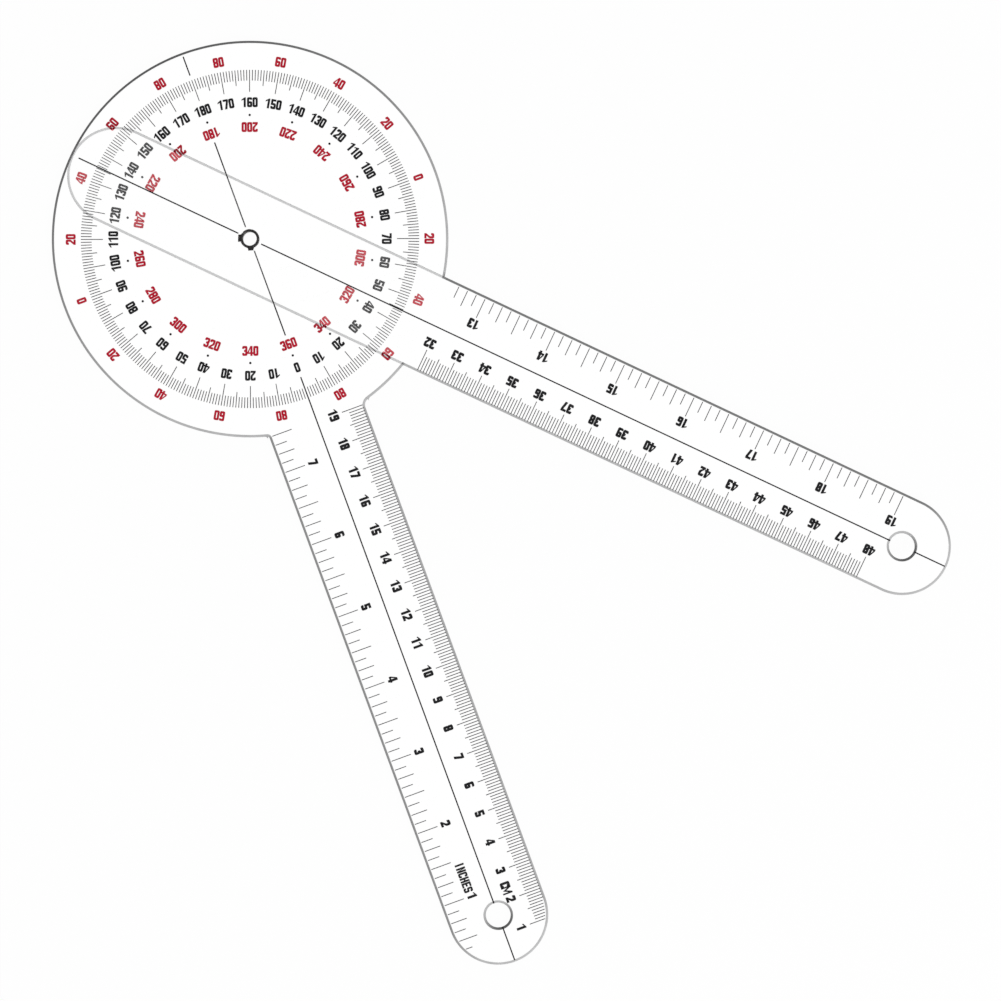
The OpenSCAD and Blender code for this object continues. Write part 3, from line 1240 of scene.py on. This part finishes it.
@dataclass
class MovingArm:
    """The moving arm: a clear strip with two round ends, in front of the dial, in millimetres.

    The strip is modelled along +X and then turned to its place at rest.
    """

    finishes: Finishes
    figures: TypeCase
    width: float = 32.2
    tip: float = 254.0
    tail: float = 64.9
    hole_x: float = 237.8
    hole_r: float = 4.25
    pivot_r: float = 2.65
    back: float = 0.1
    front: float = 2.1
    rest_angle: float = 44.6
    broken_edge: float = 0.8
    zero_back: float = 251.5
    cm_row_y: float = -5.8
    inch_row_y: float = 6.0
    cm_numbers: range = range(32, 49)
    inch_numbers: range = range(13, 20)

    def plate(self) -> Object:
        """Models the clear strip, as the dial's plate is modelled.

        Returns:
            The strip, which stands for the CAD's moving arm.
        """
        half = self.width / 2
        plate = block("moving_arm", (-self.tail + half, -half, -3.0), (self.tip - half, half, 5.0))
        combine(plate, cylinder("tip", half, -3.5, 5.5, TIP_SIDES, self.tip - half), Cut.JOIN)
        combine(plate, cylinder("tail", half, -4.0, 6.0, TIP_SIDES, half - self.tail), Cut.JOIN)
        drill(plate, self.hole_r, HOLE_SIDES, self.hole_x)
        reach = self.tip + self.tail
        sheet = block("sheet", (-reach, -reach, self.back), (reach, reach, self.front))
        combine(plate, sheet, Cut.KEEP)
        tidy_faces(plate)
        break_edges(plate, self.broken_edge)
        drill(plate, self.pivot_r, PIVOT_SIDES)
        plate.rotation_euler = (0, 0, math.radians(self.rest_angle))
        apply_place(plate)
        finish_plate(plate, self.finishes.clear, self.finishes.arm_edge)
        return plate

    def lay(self, name: str, copies: list[Object]) -> None:
        layer = print_layer(name, copies, self.finishes.black, self.front, self.rest_angle)
        add_piece(layer, Body.MOVING, Slot.BLACK)

    def build(self) -> None:
        """Models, dresses and attaches every piece of the moving arm."""
        add_piece(self.plate(), Body.MOVING, Slot.PLASTIC, "moving_arm_plate")
        row = self.figures.row
        cm = row(self.cm_numbers, -self.zero_back, CENTIMETRE, self.cm_row_y, 180)
        self.lay("moving_cm_numerals", cm)
        inch = row(self.inch_numbers, -self.zero_back, INCH, self.inch_row_y, 180)
        self.lay("moving_inch_numerals", inch)


def dress_cad_nodes(finishes: Finishes) -> None:
    """Gives the CAD's print layers and rivet their materials.

    Args:
        finishes: The object's materials.
    """
    for name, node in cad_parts.items():
        if name.endswith(("_ticks", "_dots", "_line")):
            dress(node, finishes.black)
        elif name == "pivot_eyelet":
            dress(node, finishes.metal)


# Studio


@dataclass
class Studio:
    """Floor, surroundings, lamp and camera, in metres and watts.

    The lamp stands lamp_offset to the picture's right of the view's middle, and as far below it.
    """

    floor_z: float = -2.3 * MM
    camera_height: float = 1.8
    view_middle: tuple[float, float] = (0.10955, 0.04788)
    image_right: tuple[float, float] = (0.3446, 0.9387)
    view_width: float = 0.33047
    sensor: float = 36.0
    floor_size: float = 6.0
    ambient: float = 0.62
    lamp_watts: float = 6.0
    lamp_size: float = 0.6
    lamp_offset: float = 0.75
    lamp_height: float = 0.8

    def floor(self) -> None:
        """Lays the tabletop under the object."""
        deselect_all()
        bpy.ops.mesh.primitive_plane_add(size=self.floor_size, location=(0.0, 0.0, self.floor_z))
        table = named(bpy.context.object, "studio_floor")
        dress(table, StudioFloor().build())

    def surroundings(self) -> None:
        """Soft even light all round, which the camera, reflections and plastic see as white."""
        world = bpy.data.worlds.new("studio")
        bpy.context.scene.world = world
        world.use_nodes = True
        world.node_tree.nodes.clear()
        board = NodeBoard(world.node_tree)
        soft = board.add("ShaderNodeBackground", Color=WHITE, Strength=self.ambient)
        white = board.add("ShaderNodeBackground", Color=WHITE, Strength=1.0)
        path = board.add("ShaderNodeLightPath")
        seen = board.math("MAXIMUM", path.outputs["Is Camera Ray"], path.outputs["Is Glossy Ray"])
        seen = board.math("MAXIMUM", seen, path.outputs["Is Transmission Ray"])
        light = board.mix_shaders(seen, soft.outputs[0], white.outputs[0])
        board.plug(board.add("ShaderNodeOutputWorld"), "Surface", light)

    def lamp(self) -> None:
        """One broad lamp from the picture's lower right."""
        right = Vector((*self.image_right, 0.0))
        up = Vector((-self.image_right[1], self.image_right[0], 0.0))
        middle = Vector((*self.view_middle, 0.0))
        spot = middle + self.lamp_offset * right - self.lamp_offset * up
        spot += Vector((0.0, 0.0, self.lamp_height))
        deselect_all()
        bpy.ops.object.light_add(type="AREA", location=spot)
        lamp = bpy.context.object
        lamp.name = "key_lamp"
        lamp.data.shape = "DISK"
        lamp.data.size = self.lamp_size
        lamp.data.energy = self.lamp_watts
        lamp.rotation_euler = (middle - spot).to_track_quat("-Z", "Y").to_euler()

    def camera(self) -> None:
        """Looks straight down on the object, turned as in the picture."""
        deselect_all()
        bpy.ops.object.camera_add(location=(*self.view_middle, self.camera_height))
        camera = bpy.context.object
        camera.name = "camera"
        camera.data.sensor_width = self.sensor
        camera.data.lens = self.sensor * self.camera_height / self.view_width
        camera.data.clip_start = 0.01
        camera.rotation_euler = (0.0, 0.0, math.atan2(self.image_right[1], self.image_right[0]))
        bpy.context.scene.camera = camera

    def build(self) -> None:
        """Sets up the whole studio."""
        self.floor()
        self.surroundings()
        self.lamp()
        self.camera()
        bpy.context.scene.view_settings.view_transform = "Standard"
        LOG.info("studio is set up")


def main() -> None:
    """Builds the object and its studio."""
    logging.basicConfig(level=logging.INFO, format="%(name)s: %(message)s")
    effects = EffectGroups()
    dial_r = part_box("dial_arm_plate")[1][1]
    finishes = build_finishes(effects, dial_r)
    figures = TypeCase(Glyphs(height=3.3, width=1.74, pen=0.72), pitch=1.82)
    heavy_figures = TypeCase(Glyphs(height=3.3, width=1.84, pen=0.84), pitch=1.92)
    letters = TypeCase(Glyphs(height=3.1, width=1.6, pen=0.64), pitch=1.74)
    DialArm(finishes, figures, heavy_figures, letters).build()
    MovingArm(finishes, heavy_figures).build()
    figures.clear()
    heavy_figures.clear()
    letters.clear()
    dress_cad_nodes(finishes)
    Studio().build()


if __name__ == "__main__":
    main()
